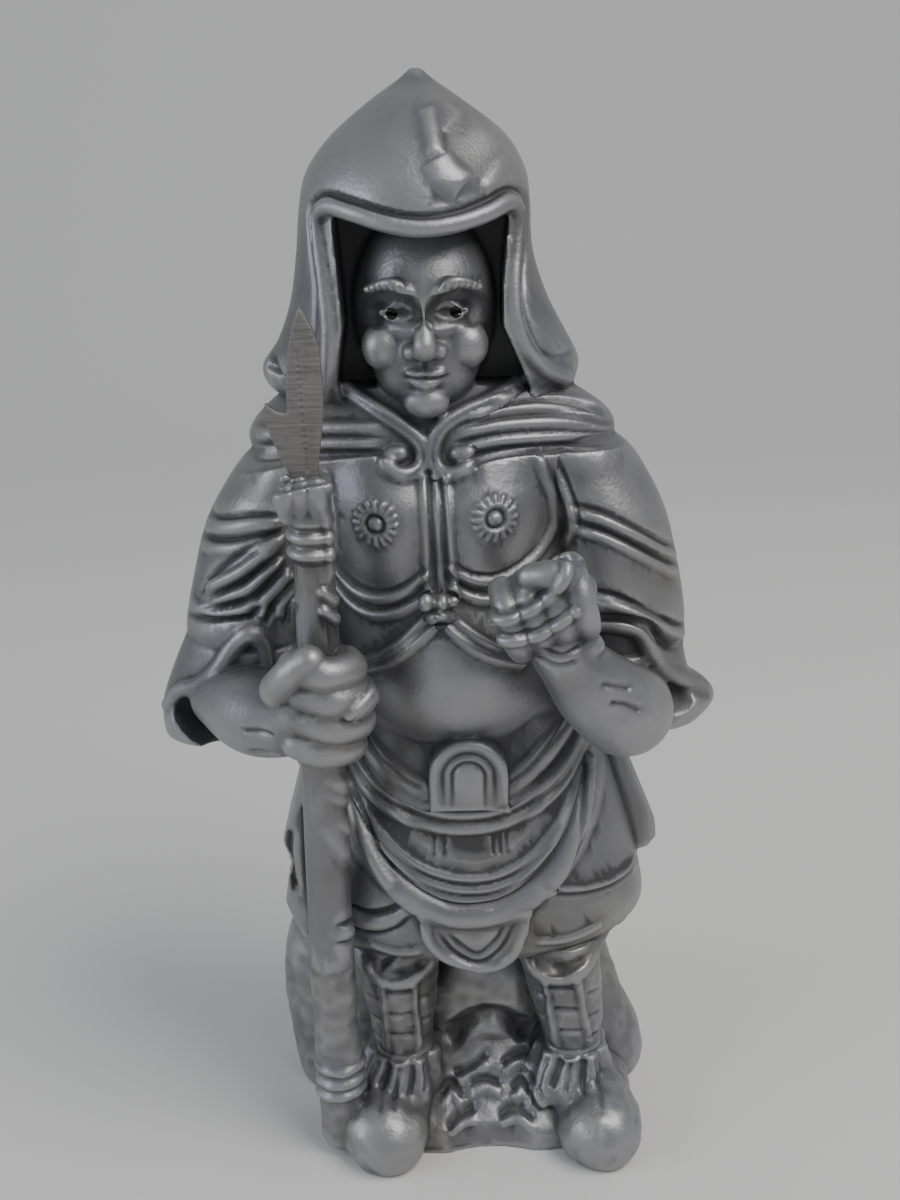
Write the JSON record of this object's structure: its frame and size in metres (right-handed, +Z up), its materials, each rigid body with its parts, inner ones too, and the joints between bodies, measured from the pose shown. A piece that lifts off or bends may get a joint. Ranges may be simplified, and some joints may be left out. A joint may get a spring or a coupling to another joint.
{
  "type": "standing guardian figure statue",
  "caption": "Standing armoured guardian figure in a pointed hood, with a spear held upright and a raised fist, cast in one with the rock under it.",
  "frame": {"origin": "centre of the flat underside, on the surface the figure stands on", "axes": "+Z up through the hood's peak, -Y the way the figure faces, +X towards the raised fist, which is the viewer's right"},
  "size_m": [0.1693, 0.1117, 0.33],
  "materials": {
    "silver_paint": "satin silver-grey metallic paint with a dark wash in the recesses",
    "blade_paint": "matte brownish grey, brushed across"
  },
  "bodies": {
    "root": {"figure": "silver_paint", "spear_blade": "blade_paint"}
  },
  "joints": []
}
